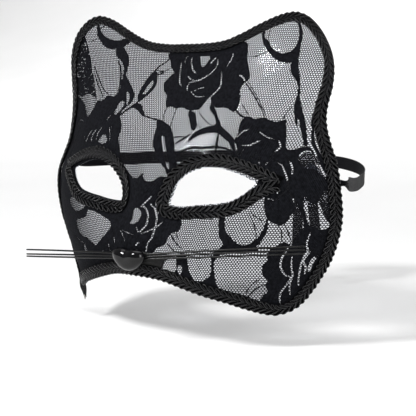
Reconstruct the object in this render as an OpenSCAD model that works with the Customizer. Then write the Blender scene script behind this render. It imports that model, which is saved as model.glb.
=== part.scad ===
// Cat half-mask: a clear moulded shell under floral lace, edged with scroll braid,
// with a glossy nose, bristle whiskers and a pair of ribbon ties knotted behind the head.
// Millimetres. The mask faces -Y, +X is the wearer's left, +Z is up.
// The origin is the bridge of the nose, midway between the eye openings.

/* [Shell] */
// Half of the mask's width, at the temples
half_width = 102.5; // [98:0.5:107]
// Height of the ear tips above the bridge
ear_top = 104.5; // [101:0.5:108]
// Depth of the cheek corners below the bridge
cheek_drop = 61.5; // [58:0.5:64]
// Thickness of the clear shell
shell_t = 0.5; // [0.3:0.1:0.6]

/* [Lace] */
// Thickness of the lace laid over the shell
lace_t = 0.35; // [0.2:0.05:0.5]

/* [Braid] */
// Width of the scroll braid around the edge and the eyes
braid_w = 7.8; // [6:0.2:8.4]
// Thickness of the scroll braid
braid_t = 2.2; // [1.6:0.1:2.6]

/* [Nose and whiskers] */
// Width of the nose
nose_w = 22; // [18:0.5:24]
// Height of the nose
nose_h = 13; // [12:0.5:14]
// Thickness of the nose's dome
nose_t = 5.5; // [4.5:0.5:6.5]
// How far the whisker tips reach from the middle
whisker_reach = 98; // [90:1:102]
// Diameter of one whisker
whisker_d = 1.2; // [0.8:0.1:1.3]

/* [Ties] */
// Width of the ribbon
ribbon_w = 8; // [6:0.5:9]
// Thickness of the ribbon
ribbon_t = 0.5; // [0.3:0.1:0.6]
// Length of one hanging ribbon tail below the knot
tail_len = 64; // [50:2:70]

/* [Hidden] */

gap = 0.06;                               // clearance between stacked layers
lace_front = gap + lace_t;                // layer heights above the shell's outer face
braid_back = lace_front + gap;
braid_front = braid_back + braid_t;
patch_back = 1.2;                         // depth of the glued ribbon patches behind the shell
edge_inset = 0.8;                         // the braid overhangs the shell's edge by this much
curve_steps = 4;                          // straight pieces between two outline points

// ---- the face surface: y as a function of x and z ----
grid_step = 5.5;
grid_x = 110;
grid_low = -66;
grid_high = 110;
station_low = -70;                        // lowest cross-section
station_step = 25;                        // height between cross-sections
half_span = 90;                           // where a cross-section's depth is given
middle_y = [-4, -7.5, -8, -2.5, 6, 20.5, 36.5, 48];     // depth on the centre line
side_depth = [62, 50, 37, 30, 32.5, 20.5, 7.5, -5];     // how much further back the side lies
side_turn = 0.33;                         // share of that depth which grows with the 4th power
// raised and sunken places: [x, z, width, height, amount towards -Y]
reliefs = [[0, -31, 13, 20, 3.4], [0, 2, 9, 24, 2.6], [21, 1, 13, 13, -5], [-21, 1, 13, 13, -5]];

// ---- outlines seen from the front: [x, z] ----
edge_left = [[0, 86], [14, 86.5], [26, 88], [36, 92], [46, 97], [58, 102], [70, 104.5], [80, 102],
             [88, 95], [93, 86], [95, 76], [94.5, 64], [92.5, 54], [91.8, 45], [93.5, 34], [97, 23],
             [100.5, 13], [102.5, 3], [102.5, -7], [100.5, -17], [96.5, -28], [91, -38.5],
             [84.5, -49.5], [77.5, -58], [69, -61.5], [60, -58.5], [50, -54], [39, -50.5],
             [27, -46.5], [14, -43]];
edge_right = [[0, -41.5], [-14, -43], [-27, -46.5], [-39, -50.5], [-50, -54.5], [-60, -59],
              [-69, -61], [-77, -57], [-84, -49], [-91, -38.5], [-97, -28], [-101, -17],
              [-102.5, -7], [-102.5, 3], [-100, 13], [-95.5, 23], [-91, 34], [-88.5, 45],
              [-89.5, 54], [-93, 64], [-95, 76], [-93, 86], [-88, 95], [-80, 102],
              [-71, 104.5], [-60, 101.5], [-49, 96], [-38, 91], [-27, 87.5], [-14, 86]];
eye_points = [[17.5, -1.5], [18, 4], [20.5, 10], [25.5, 15], [32.5, 18.5], [40, 20], [48, 19.3],
              [56, 17], [62, 14.5], [65.5, 12.5], [62.5, 8.5], [57.5, 4.5], [52, 2], [45, 0.8],
              [36, -0.3], [26, -2]];
eye_ring_points = [[81, 12.2], [79, 15.5], [72.7, 18.9], [64.5, 22.3], [57, 25.2], [47, 27.5], [38, 27.5],
                   [29, 25], [21, 20.5], [13.5, 14], [9, 6], [7.5, -1], [10.5, -7], [17, -9.8],
                   [26, -9.8], [36, -8.5], [46, -7.6], [55, -5.6], [63.5, -1], [68.8, 3.1],
                   [73.6, 6.2], [78.6, 8.6]];
patch_points = [[84, 14], [84.7, 20], [88, 23], [92, 20], [94, 14], [95, 8], [94, 3.5], [91.5, 1.5],
                [88.5, 4], [85.5, 8]];
base_points = [[-19, -30.6], [-10, -28.2], [0, -27.4], [12, -28], [24, -29.5], [19.5, -32],
               [17.5, -35], [12, -34.4], [0, -33.2], [-10, -32.4]];

// ---- whiskers: root and tip heights, and the tips' depth, each side ----
root_z = [-29.3, -30.6, -31.9];
root_y = -13.4;
bend_x = 9;
bend_y = -13.2;
tip_z_left = [-18.5, -20.3, -22.3];
tip_z_right = [-39.2, -42, -43.4];
tip_y_left = 11;
tip_y_right = 3;

// ---- ribbon routes: [x, y, z], from inside the shell round the head to the knot ----
route_left = [[90, 32.2, 12], [94.4, 36.8, 12], [98.4, 41.3, 12], [101, 45.2, 11.8],
              [101.2, 50.5, 11.3], [97.4, 59.5, 9.8], [91, 74.5, 7.6], [83.2, 93.5, 5.6],
              [76, 111.5, 4.8], [69.2, 128, 4.8], [61, 144.5, 5.4], [52.4, 157, 6.2],
              [42.5, 168, 7], [31.5, 176, 7.6], [19.5, 182, 8], [8, 184.8, 8], [-2, 185.6, 8]];
route_right = [[-90, 32.2, 12], [-94.4, 36.8, 12], [-98.4, 41.3, 12], [-101, 45.2, 12],
               [-101.6, 50.5, 12], [-98.5, 59.5, 12], [-93, 74.5, 11.8], [-86, 93.5, 11.5],
               [-79.5, 111.5, 11.2], [-73.5, 128, 10.9], [-65.5, 144.5, 10.5], [-56.5, 157, 10.1],
               [-46, 168, 9.6], [-34, 176, 9.1], [-22, 182, 8.6], [-10, 185.4, 8.2]];
knot = [-6, 187, 8];                      // middle of the knot
knot_size = [11, 7, 11];
loop_len = 40;                            // reach of one bow loop
loop_open = 5;                            // half of the loop's opening
loop_droop = [66, 52];                    // how far each loop hangs below level, degrees
tail_spread = 6;                          // how far the tails fan out sideways
tail_sway = -1.5;                         // how far they wave back and forth

// ================= functions =================
// Catmull-Rom value between b and c
function smooth(a, b, c, d, t) = 0.5 * (2 * b + (c - a) * t + (2 * a - 5 * b + 4 * c - d) * t * t
                                 + (-a + 3 * b - 3 * c + d) * t * t * t);
function clamp_index(i, n) = min(max(i, 0), n - 1);
// value of a list of cross-sections at height z
function at_height(values, z) = let (
    n = len(values),
    u = min(max((z - station_low) / station_step, 0), n - 1.001),
    i = floor(u))
    smooth(values[clamp_index(i - 1, n)], values[i], values[i + 1],
           values[clamp_index(i + 2, n)], u - i);
function bump(r, x, z) = r[4] * exp(-pow((x - r[0]) / r[2], 2) - pow((z - r[1]) / r[3], 2));
function face_y(x, z) = let (t = abs(x) / half_span)
    at_height(middle_y, z) + at_height(side_depth, z) * ((1 - side_turn) * t * t + side_turn * pow(t, 4))
    - bump(reliefs[0], x, z) - bump(reliefs[1], x, z) - bump(reliefs[2], x, z) - bump(reliefs[3], x, z);
function unit(v) = v / norm(v);
function face_normal(x, z, e = 0.2) = unit([
    (face_y(x + e, z) - face_y(x - e, z)) / (2 * e), -1,
    (face_y(x, z + e) - face_y(x, z - e)) / (2 * e)]);
// a point at height h above the face surface, outwards positive
function face_point(x, z, h) = [x, face_y(x, z), z] + h * face_normal(x, z);
function reverse(list) = [for (i = [len(list) - 1 : -1 : 0]) list[i]];
// a smooth closed curve through the points
function closed_curve(p) = let (n = len(p)) [for (i = [0 : n - 1], k = [0 : curve_steps - 1])
    smooth(p[(i + n - 1) % n], p[i], p[(i + 1) % n], p[(i + 2) % n], k / curve_steps)];
// a smooth open curve through the points, with m straight pieces between two of them
function open_curve(p, m) = let (n = len(p)) concat([for (i = [0 : n - 2], k = [0 : m - 1])
    smooth(p[clamp_index(i - 1, n)], p[i], p[i + 1], p[clamp_index(i + 2, n)], k / m)], [p[n - 1]]);
// the outline fitted to the driving sizes
function fitted(p) = [p[0] * half_width / 102.5,
                      p[1] > 0 ? p[1] * ear_top / 104.5 : p[1] * cheek_drop / 61.5];
function mirrored(points, side) = side > 0 ? points : [for (p = reverse(points)) [-p[0], p[1]]];
function lerp(a, b, t) = a + (b - a) * t;

// ================= building blocks =================
// a closed tube: rings is a list of equal rings of points, each going the same way round
module loft(rings) {
    n = len(rings[0]);
    m = len(rings);
    polyhedron(
        points = [for (r = rings) each r],
        faces = concat(
            [[for (k = [0 : n - 1]) k]],
            [for (i = [0 : m - 2], k = [0 : n - 1]) let (a = i * n + k, b = i * n + (k + 1) % n)
                each [[a, a + n, b + n], [a, b + n, b]]],
            [[for (k = [n - 1 : -1 : 0]) (m - 1) * n + k]]));
}

// a round rod along a path
module rod(path, d, sides = 8) {
    m = len(path);
    loft([for (i = [0 : m - 1]) let (
        along = unit(path[min(i + 1, m - 1)] - path[max(i - 1, 0)]),
        across = unit(cross(along, [0, 0, 1])),
        over = cross(along, across))
        [for (k = [0 : sides - 1]) let (turn = 360 * k / sides)
            path[i] + d / 2 * (across * cos(turn) + over * sin(turn))]]);
}

// a flat ribbon along a path, a little thicker in the middle, its width lying along the list
// of width directions
module ribbon(path, widths) {
    m = len(path);
    loft([for (i = [0 : m - 1]) let (
        along = unit(path[min(i + 1, m - 1)] - path[max(i - 1, 0)]),
        over = unit(cross(along, widths[i])),
        across = cross(over, along))
        [for (c = [[-1, -0.8], [0, -1], [1, -0.8], [1, 0.8], [0, 1], [-1, 0.8]])
            path[i] + across * c[0] * ribbon_w / 2 + over * c[1] * ribbon_t / 2]]);
}

// the whole face sheet between two heights above the surface
module face_sheet(low, high) {
    nx = 2 * ceil(grid_x / grid_step);
    nz = ceil((grid_high - grid_low) / grid_step);
    row = nx + 1;
    layer = row * (nz + 1);
    function point(i, j, h) = face_point(-grid_x + 2 * grid_x * i / nx,
                                         grid_low + (grid_high - grid_low) * j / nz, h);
    polyhedron(
        points = concat([for (j = [0 : nz], i = [0 : nx]) point(i, j, high)],
                        [for (j = [0 : nz], i = [0 : nx]) point(i, j, low)]),
        faces = concat(
            [for (j = [0 : nz - 1], i = [0 : nx - 1]) let (a = j * row + i) each
                [[a, a + row, a + 1], [a + 1, a + row, a + row + 1]]],
            [for (j = [0 : nz - 1], i = [0 : nx - 1]) let (a = layer + j * row + i) each
                [[a, a + 1, a + row], [a + 1, a + row + 1, a + row]]],
            [for (i = [0 : nx - 1]) each [[i, i + 1, layer + i + 1, layer + i],
                [nz * row + i + 1, nz * row + i, layer + nz * row + i, layer + nz * row + i + 1]]],
            [for (j = [0 : nz - 1]) each [[j * row + row, j * row, layer + j * row, layer + j * row + row],
                [j * row + nx, j * row + nx + row, layer + j * row + nx + row, layer + j * row + nx]]]));
}

// cuts the face sheet to a flat shape seen from the front
module on_face(low, high) {
    intersection() {
        face_sheet(low, high);
        translate([0, 120, 0]) rotate([90, 0, 0]) linear_extrude(200) children();
    }
}

module mask_outline(inset) {
    offset(delta = -inset) polygon(closed_curve([for (p = concat(edge_left, edge_right)) fitted(p)]));
}
module eye_opening(side) { polygon(closed_curve(mirrored(eye_points, side))); }
module mask_shape() {
    difference() {
        mask_outline(edge_inset);
        for (side = [1, -1]) eye_opening(side);
    }
}

// ================= the pieces =================
module clear_shell() { color([0.85, 0.88, 0.9, 0.5]) on_face(-shell_t, 0) mask_shape(); }

module lace_cover() { color([0.12, 0.12, 0.12]) on_face(gap, lace_front) mask_shape(); }

module edge_braid() {
    color([0.06, 0.06, 0.06]) {
        on_face(braid_back, braid_front) difference() {
            mask_outline(0);
            mask_outline(braid_w);
        }
        frayed_end();
    }
}

// the braid's loose, frayed end below the wearer's right cheek
module frayed_end() {
    path = [face_point(-68, -58.5, braid_back + braid_t / 2), face_point(-67.5, -61.5, 1.6),
            face_point(-66.5, -65, 1.2), face_point(-65, -68.5, 0.8)];
    widths = [2, 1.9, 1.2, 0.4];
    loft([for (i = [0 : 3]) [for (k = [0 : 7])
        path[i] + widths[i] * [cos(45 * k), sin(45 * k) * 0.5, 0]]]);
}

module eye_braid(side) {
    color([0.06, 0.06, 0.06]) on_face(braid_back, braid_front) difference() {
        polygon(closed_curve(mirrored(eye_ring_points, side)));
        eye_opening(side);
    }
}

// a domed, rounded triangle with a flat back, point downwards
module nose() {
    lobe = nose_h * 0.31;
    chin = nose_h * 0.23;
    back_y = face_y(0, -34) - braid_front - 0.35;
    color([0.03, 0.03, 0.03]) intersection() {
        translate([0, back_y, -32]) scale([1, nose_t / 4.5, 1]) hull() {
            for (side = [1, -1])
                translate([side * (nose_w / 2 - lobe), 0, nose_h / 2 - lobe]) sphere(lobe, $fn = 32);
            translate([0, 0, 1]) sphere(nose_h * 0.35, $fn = 32);
            translate([0, 0, chin - nose_h / 2]) sphere(chin, $fn = 32);
        }
        translate([-20, back_y - 20, -52]) cube([40, 20, 40]);
    }
}

// the thin black strip that the whiskers are stuck to, behind the nose
module whisker_base() {
    color([0.05, 0.05, 0.05]) on_face(braid_back, braid_back + 0.9) polygon(closed_curve(base_points));
}

module whisker(side, number) {
    tip_z = side > 0 ? tip_z_left[number - 1] : tip_z_right[number - 1];
    tip_y = side > 0 ? tip_y_left : tip_y_right;
    start_z = root_z[number - 1];
    bend = [side * bend_x, bend_y, lerp(start_z, tip_z, 0.06)];
    tip = [side * whisker_reach, tip_y, tip_z];
    color([0.08, 0.08, 0.08])
        rod(concat([[side * 1.5, root_y, start_z]],
                   [for (k = [0 : 5]) lerp(bend, tip, k / 5)]), whisker_d);
}

// the glued black patch that holds a ribbon's end inside the shell
module tie_patch(side) {
    color([0.07, 0.07, 0.08]) on_face(-patch_back, -shell_t - gap)
        polygon(closed_curve(mirrored(patch_points, side)));
}

module tie(side) {
    path = open_curve(side > 0 ? route_left : route_right, 2);
    color([0.05, 0.05, 0.05]) ribbon(path, [for (p = path) [0, 0, 1]]);
}

module bow_knot() {
    color([0.05, 0.05, 0.05]) translate(knot) hull()
        for (x = [-1, 1], z = [-1, 1])
            translate([x * (knot_size[0] / 2 - 3), 0, z * (knot_size[2] / 2 - 3)])
                scale([1, knot_size[1] / 6, 1]) sphere(3, $fn = 16);
}

module bow_loop(side) {
    droop = loop_droop[side > 0 ? 0 : 1];
    out = [side * cos(droop), 0, -sin(droop)];
    across = [side * sin(droop), 0, cos(droop)];
    start = knot + out * (knot_size[0] / 2);
    // the loop goes out on its front run, round its end, and back on its rear run
    shape = [[0, -0.8], [8, -1.5], [18, -2], [29, -2], [37, -1.6], [loop_len, 1.2], [37, 4.6],
             [29, loop_open * 1.3], [18, 6.2], [8, 3.6], [0, 0.8]];
    path = open_curve([for (p = shape) start + out * p[0] + [0, p[1] + 2.5, 0]], 2);
    color([0.05, 0.05, 0.05]) ribbon(path, [for (p = path) across]);
}

module bow_tail(side) {
    start = knot + [side * 2.2, -1.2 - side * 0.5, -knot_size[2] / 2 + 1.5];
    // sideways, back and down, as shares of the spread, of the sway and of the length
    shape = [[0, 0, 0], [0.3, 0.8, 0.2], [0.65, 1.2, 0.45], [0.9, 0.4, 0.7], [1, 0.8, 1]];
    reach = [side * tail_spread, tail_sway, -tail_len];
    path = open_curve([for (p = shape) start + [for (k = [0 : 2]) reach[k] * p[k]]], 3);
    color([0.05, 0.05, 0.05]) ribbon(path, [for (p = path) [1, 0, 0]]);
}

clear_shell();
lace_cover();
edge_braid();
eye_braid(1);  // eye_braid_left
eye_braid(-1);  // eye_braid_right
nose();
whisker_base();
whisker(1, 1);  // whisker_left_1
whisker(1, 2);  // whisker_left_2
whisker(1, 3);  // whisker_left_3
whisker(-1, 1);  // whisker_right_1
whisker(-1, 2);  // whisker_right_2
whisker(-1, 3);  // whisker_right_3
tie_patch(1);  // tie_patch_left
tie_patch(-1);  // tie_patch_right
tie(1);  // tie_left
tie(-1);  // tie_right
bow_knot();
bow_loop(1);  // bow_loop_left
bow_loop(-1);  // bow_loop_right
bow_tail(1);  // bow_tail_left
bow_tail(-1);  // bow_tail_right
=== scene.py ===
"""Black lace cat half-mask: clear moulded shell, floral lace, scroll braid, glossy nose,
bristle whiskers and two ribbon ties knotted behind the head. Drawn in millimetres, placed in metres."""

import math

import bpy
import numpy as np
from mathutils import Matrix, Vector
from mathutils.geometry import delaunay_2d_cdt


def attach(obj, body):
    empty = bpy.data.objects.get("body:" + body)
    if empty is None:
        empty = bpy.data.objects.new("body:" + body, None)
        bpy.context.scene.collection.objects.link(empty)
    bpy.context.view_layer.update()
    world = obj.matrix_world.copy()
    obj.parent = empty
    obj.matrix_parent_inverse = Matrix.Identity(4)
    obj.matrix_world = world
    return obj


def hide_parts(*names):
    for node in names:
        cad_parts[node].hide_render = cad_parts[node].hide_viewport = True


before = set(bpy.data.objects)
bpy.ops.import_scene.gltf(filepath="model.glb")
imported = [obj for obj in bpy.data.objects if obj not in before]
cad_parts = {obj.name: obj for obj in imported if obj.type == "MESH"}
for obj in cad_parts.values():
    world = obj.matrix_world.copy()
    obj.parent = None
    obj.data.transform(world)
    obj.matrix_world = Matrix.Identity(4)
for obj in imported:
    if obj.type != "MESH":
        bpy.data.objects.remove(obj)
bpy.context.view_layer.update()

MM = 0.001
FORWARD = (0, -1, 0)
UP = (0, 0, 1)
rng = np.random.default_rng(7)

# ---------------------------------------------------------------- camera
VIEW_TURN = math.radians(36.07)
VIEW_RISE = math.radians(7.86)
VIEW_AWAY = 0.6485
LENS = 99.33
# how far the point it looks at lies to the right of the origin and below it
AIM_RIGHT = 0.0351
AIM_DOWN = 0.0048
cam_right = Vector((math.cos(VIEW_TURN), math.sin(VIEW_TURN), 0))
cam_back = Vector((math.sin(VIEW_TURN) * math.cos(VIEW_RISE),
                   -math.cos(VIEW_TURN) * math.cos(VIEW_RISE), math.sin(VIEW_RISE)))
cam_up = cam_back.cross(cam_right)
aim = cam_right * AIM_RIGHT - cam_up * AIM_DOWN
place = [aim[k] + cam_back[k] * VIEW_AWAY for k in range(3)]
camera_data = bpy.data.cameras.new("camera")
camera_data.sensor_width = 36
camera_data.lens = LENS
camera = bpy.data.objects.new("camera", camera_data)
camera.matrix_world = Matrix((*zip(cam_right, cam_up, cam_back, place), (0, 0, 0, 1)))
bpy.context.scene.collection.objects.link(camera)
bpy.context.scene.camera = camera
bpy.context.scene.view_settings.view_transform = "Standard"

# ---------------------------------------------------------------- face surface
# stations from the lowest height up, and the half width at which SIDE_DEPTH is reached
STATION_LOW = -70
STATION_STEP = 25
HALF_SPAN = 90
# share of the side depth that comes late, towards the temples
SIDE_TURN = 0.33
MIDDLE_Y = np.array([-4, -7.5, -8, -2.5, 6, 20.5, 36.5, 48])
SIDE_DEPTH = np.array([62, 50, 37, 30, 32.5, 20.5, 7.5, -5])
# raised and sunken places: x, z, width, height, amount towards -Y
RELIEFS = [(0, -31, 13, 20, 3.4), (0, 2, 9, 24, 2.6), (21, 1, 13, 13, -5), (-21, 1, 13, 13, -5)]

# thickness of the shell, heights above its outer face, width of the braid, and how far the
# shell and the lace stop short of the outline
SHELL_T = 0.5
LACE_BACK = 0.06
LACE_FRONT = 0.41
BRAID_BACK = 0.47
BRAID_FRONT = 2.67
BRAID_W = 7.8
EDGE_INSET = 0.8


def unit(vectors):
    return vectors / np.linalg.norm(vectors, axis=-1, keepdims=True)


def distances(points):
    """How far each point is from the first, along the line through them."""
    return np.concatenate([[0], np.cumsum(np.linalg.norm(np.diff(points, axis=0), axis=1))])


def spline(a, b, c, d, t):
    """Catmull-Rom value between b and c."""
    return 0.5 * (2 * b + (c - a) * t + (2 * a - 5 * b + 4 * c - d) * t ** 2
                  + (-a + 3 * b - 3 * c + d) * t ** 3)


def at_height(values, z):
    top = len(values) - 1
    u = np.clip((z - STATION_LOW) / STATION_STEP, 0, top - 0.001)
    i = np.floor(u).astype(int)
    return spline(*(values[np.clip(i + k, 0, top)] for k in (-1, 0, 1, 2)), u - i)


def face_y(x, z):
    t = np.abs(x) / HALF_SPAN
    y = at_height(MIDDLE_Y, z) + at_height(SIDE_DEPTH, z) * ((1 - SIDE_TURN) * t ** 2 + SIDE_TURN * t ** 4)
    for x0, z0, wide, high, amount in RELIEFS:
        y = y - amount * np.exp(-((x - x0) / wide) ** 2 - ((z - z0) / high) ** 2)
    return y


def face_normal(x, z, e=0.2):
    return unit(np.stack([(face_y(x + e, z) - face_y(x - e, z)) / (2 * e), -np.ones_like(x),
                          (face_y(x, z + e) - face_y(x, z - e)) / (2 * e)], -1))


def on_face(x, z, h):
    """Points at height h above the face surface, in metres."""
    x = np.asarray(x, float)
    z = np.asarray(z, float)
    h = np.broadcast_to(np.asarray(h, float), x.shape)
    base = np.stack([x, face_y(x, z), z], -1)
    return (base + face_normal(x, z) * h[..., None]) * MM


# ---------------------------------------------------------------- outlines, seen from the front
EDGE_LEFT = [(0, 86), (14, 86.5), (26, 88), (36, 92), (46, 97), (58, 102), (70, 104.5), (80, 102),
             (88, 95), (93, 86), (95, 76), (94.5, 64), (92.5, 54), (91.8, 45), (93.5, 34), (97, 23),
             (100.5, 13), (102.5, 3), (102.5, -7), (100.5, -17), (96.5, -28), (91, -38.5),
             (84.5, -49.5), (77.5, -58), (69, -61.5), (60, -58.5), (50, -54), (39, -50.5),
             (27, -46.5), (14, -43)]
EDGE_RIGHT = [(0, -41.5), (-14, -43), (-27, -46.5), (-39, -50.5), (-50, -54.5), (-60, -59),
              (-69, -61), (-77, -57), (-84, -49), (-91, -38.5), (-97, -28), (-101, -17),
              (-102.5, -7), (-102.5, 3), (-100, 13), (-95.5, 23), (-91, 34), (-88.5, 45),
              (-89.5, 54), (-93, 64), (-95, 76), (-93, 86), (-88, 95), (-80, 102),
              (-71, 104.5), (-60, 101.5), (-49, 96), (-38, 91), (-27, 87.5), (-14, 86)]
EYE = [(17.5, -1.5), (18, 4), (20.5, 10), (25.5, 15), (32.5, 18.5), (40, 20), (48, 19.3),
       (56, 17), (62, 14.5), (65.5, 12.5), (62.5, 8.5), (57.5, 4.5), (52, 2), (45, 0.8),
       (36, -0.3), (26, -2)]
# middle of the braid round one eye: out from the corner, over, round the inside and back under
EYE_TRIM = [(77, 12.9), (71.2, 15.3), (63.5, 18.6), (56.5, 21.2), (48, 23.2), (39.5, 23.8),
            (31, 22), (23.5, 18.3), (17, 12), (13.8, 5), (12.9, -1.5), (15.5, -5.4), (21, -6.2),
            (28, -6.1), (36, -4.6), (46, -3.5), (55, -1.6), (61.5, 2.2), (66.5, 6.3), (71.6, 9.6),
            (76.8, 11.6)]
PATCH = [(84, 14), (84.7, 20), (88, 23), (92, 20), (94, 14), (95, 8), (94, 3.5), (91.5, 1.5),
         (88.5, 4), (85.5, 8)]
BASE = [(-19, -30.6), (-10, -28.2), (0, -27.4), (12, -28), (24, -29.5), (19.5, -32),
        (17.5, -36.2), (12, -35.4), (0, -34.2), (-10, -32.4)]


def closed_curve(points, steps=4):
    p = np.array(points, float)
    t = np.arange(steps)[None, :, None] / steps
    a, b, c, d = (np.roll(p, k, 0)[:, None] for k in (1, 0, -1, -2))
    return spline(a, b, c, d, t).reshape(-1, p.shape[1])


def open_curve(points, steps=4):
    p = np.array(points, float)
    n = len(p)
    t = np.arange(steps)[None, :, None] / steps
    i = np.arange(n - 1)
    a, b, c, d = (p[np.clip(i + k, 0, n - 1)][:, None] for k in (-1, 0, 1, 2))
    return np.vstack([spline(a, b, c, d, t).reshape(-1, p.shape[1]), p[-1:]])


def mirrored(points):
    return [(-x, z) for x, z in reversed(points)]


def inset(loop, d):
    """A clockwise closed loop moved inwards by d."""
    along = unit(np.roll(loop, -1, 0) - np.roll(loop, 1, 0))
    return loop + d * np.stack([along[:, 1], -along[:, 0]], 1)


def inside(loop, x, z):
    """Which of the points lie inside a closed loop."""
    low, high = loop.min(0), loop.max(0)
    near = (x > low[0]) & (x < high[0]) & (z > low[1]) & (z < high[1])
    found = np.zeros(x.shape, bool)
    px, pz = x[near], z[near]
    odd = np.zeros(px.shape, bool)
    for (ax, az), (bx, bz) in zip(loop, np.roll(loop, -1, 0)):
        if az != bz:
            odd ^= ((az > pz) != (bz > pz)) & (px < (bx - ax) * (pz - az) / (bz - az) + ax)
    found[near] = odd
    return found


edge_loop = closed_curve(EDGE_LEFT + EDGE_RIGHT)
cut_loop = inset(edge_loop, EDGE_INSET)
eye_loops = [closed_curve(EYE), closed_curve(mirrored(EYE))]


def in_any(loops, x, z):
    found = np.zeros(x.shape, bool)
    for loop in loops:
        found |= inside(loop, x, z)
    return found


def in_mask(x, z):
    return inside(cut_loop, x, z) & ~in_any(eye_loops, x, z)


# ---------------------------------------------------------------- mesh helpers
def add_mesh(name, verts, faces, uv=None, materials=(), material_index=None, smooth=True):
    mesh = bpy.data.meshes.new(name)
    mesh.from_pydata(np.asarray(verts).tolist(), [], faces)
    if uv is not None:
        layer = mesh.uv_layers.new(name="length")
        layer.data.foreach_set("uv", np.asarray(uv, np.float32).ravel())
    for material in materials:
        mesh.materials.append(material)
    if material_index is not None:
        mesh.polygons.foreach_set("material_index", np.asarray(material_index, np.int32))
    mesh.polygons.foreach_set("use_smooth", np.full(len(mesh.polygons), smooth))
    mesh.update()
    piece = bpy.data.objects.new(name, mesh)
    bpy.context.scene.collection.objects.link(piece)
    return piece


def cut_sheet(member, loops, step, low, high, rounded=0.0):
    """A thin sheet on the face: triangles whose middle is a member, between two heights."""
    span = np.vstack(loops)
    gx, gz = np.meshgrid(np.arange(span[:, 0].min() + step / 2, span[:, 0].max(), step),
                         np.arange(span[:, 1].min() + step / 2, span[:, 1].max(), step))
    gx = gx + (np.arange(gz.shape[0]) % 2)[:, None] * step / 2
    gx, gz = gx.ravel(), gz.ravel()
    used = member(gx, gz)
    points = [Vector(p) for p in zip(gx[used].tolist(), gz[used].tolist())]
    lines = []
    for loop in loops:
        first = len(points)
        points += [Vector(p) for p in loop.tolist()]
        lines += [(first + k, first + (k + 1) % len(loop)) for k in range(len(loop))]
    verts, _, faces, _, _, _ = delaunay_2d_cdt(points, lines, [], 0, 1e-4, False)
    flat = np.array([(v.x, v.y) for v in verts])
    tri = np.array(faces)
    middle = flat[tri].mean(1)
    tri = tri[member(middle[:, 0], middle[:, 1])]
    kept, tri = np.unique(tri, return_inverse=True)
    tri = tri.reshape(-1, 3)
    flat = flat[kept]
    (ax, az), (bx, bz), (cx, cz) = (flat[tri[:, k]].T for k in range(3))
    turned = (bx - ax) * (cz - az) < (bz - az) * (cx - ax)
    tri[turned] = tri[turned][:, ::-1]
    n = len(flat)
    sides = np.concatenate([tri[:, [0, 1]], tri[:, [1, 2]], tri[:, [2, 0]]]).astype(np.int64)
    # a side is on the rim if no other triangle runs back along it
    rim = sides[~np.isin(sides[:, 0] * n + sides[:, 1], sides[:, 1] * n + sides[:, 0])]
    on_rim = np.zeros(n, bool)
    on_rim[rim.ravel()] = True
    front = on_face(flat[:, 0], flat[:, 1], np.where(on_rim, high - rounded, high))
    rear = on_face(flat[:, 0], flat[:, 1], low)
    walls = np.stack([rim[:, 1], rim[:, 0], rim[:, 0] + n, rim[:, 1] + n], 1)
    return np.vstack([front, rear]), tri.tolist() + (tri[:, ::-1] + n).tolist() + walls.tolist()


def grid_faces(rings, sides, closed=False, flipped=False):
    """Faces between rings of points, and from the last ring to the first if closed."""
    i = np.arange(rings if closed else rings - 1)[:, None]
    k = np.arange(sides)[None]
    j = (i + 1) % rings
    l = (k + 1) % sides
    quads = np.stack([i * sides + k, i * sides + l, j * sides + l, j * sides + k], -1).reshape(-1, 4)
    return (quads[:, [0, 3, 2, 1]] if flipped else quads).tolist()


def grid_uv(u, v):
    """Texture places for such faces, from u at each ring and v at each side."""
    u, v = np.meshgrid(u, v, indexing="ij")
    rows, sides = len(u) - 1, u.shape[1] - 1
    corners = [np.stack([w[a:a + rows, b:b + sides] for w in (u, v)], -1)
               for a, b in ((0, 0), (0, 1), (1, 1), (1, 0))]
    return np.stack(corners, 2).reshape(-1, 2)


def tube(path, normals, radius, sides, closed):
    """A round cord along a path in metres, with u along it and v round it, both in metres."""
    if closed:
        along = np.roll(path, -1, 0) - np.roll(path, 1, 0)
        u = distances(np.vstack([path, path[:1]]))
    else:
        along = np.gradient(path, axis=0)
        u = distances(path)
    along = unit(along)
    across = unit(np.cross(along, normals))
    over = np.cross(across, along)
    turn = (np.arange(sides) * 2 * np.pi / sides)[None, :, None]
    r = np.broadcast_to(np.asarray(radius, float), (len(path),))[:, None, None]
    rings = path[:, None] + r * (across[:, None] * np.cos(turn) + over[:, None] * np.sin(turn))
    n = len(path)
    faces = grid_faces(n, sides, closed)
    uv = grid_uv(u, np.arange(sides + 1) * 2 * np.pi / sides * float(np.mean(r)))
    if not closed:
        faces += [list(range(sides))[::-1], [(n - 1) * sides + q for q in range(sides)]]
        uv = np.vstack([uv, np.zeros((2 * sides, 2))])
    return rings.reshape(-1, 3), faces, uv


def join_parts(parts):
    """One mesh from several (verts, faces, uv)."""
    faces = []
    total = 0
    for v, f, _ in parts:
        faces += [[q + total for q in face] for face in f]
        total += len(v)
    return np.vstack([p[0] for p in parts]), faces, np.vstack([p[2] for p in parts])


# ---------------------------------------------------------------- materials
def new_material(name, inputs=()):
    """A material, its nodes and links, and its shader with those inputs set."""
    material = bpy.data.materials.new(name)
    material.use_nodes = True
    nodes = material.node_tree.nodes
    bsdf = nodes["Principled BSDF"]
    for key, value in dict(inputs).items():
        bsdf.inputs[key].default_value = value
    return material, nodes, material.node_tree.links, bsdf


def add_node(nodes, kind, **values):
    node = nodes.new(kind)
    for key, value in values.items():
        if hasattr(node, key):
            setattr(node, key, value)
        else:
            node.inputs[key].default_value = value
    return node


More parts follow.
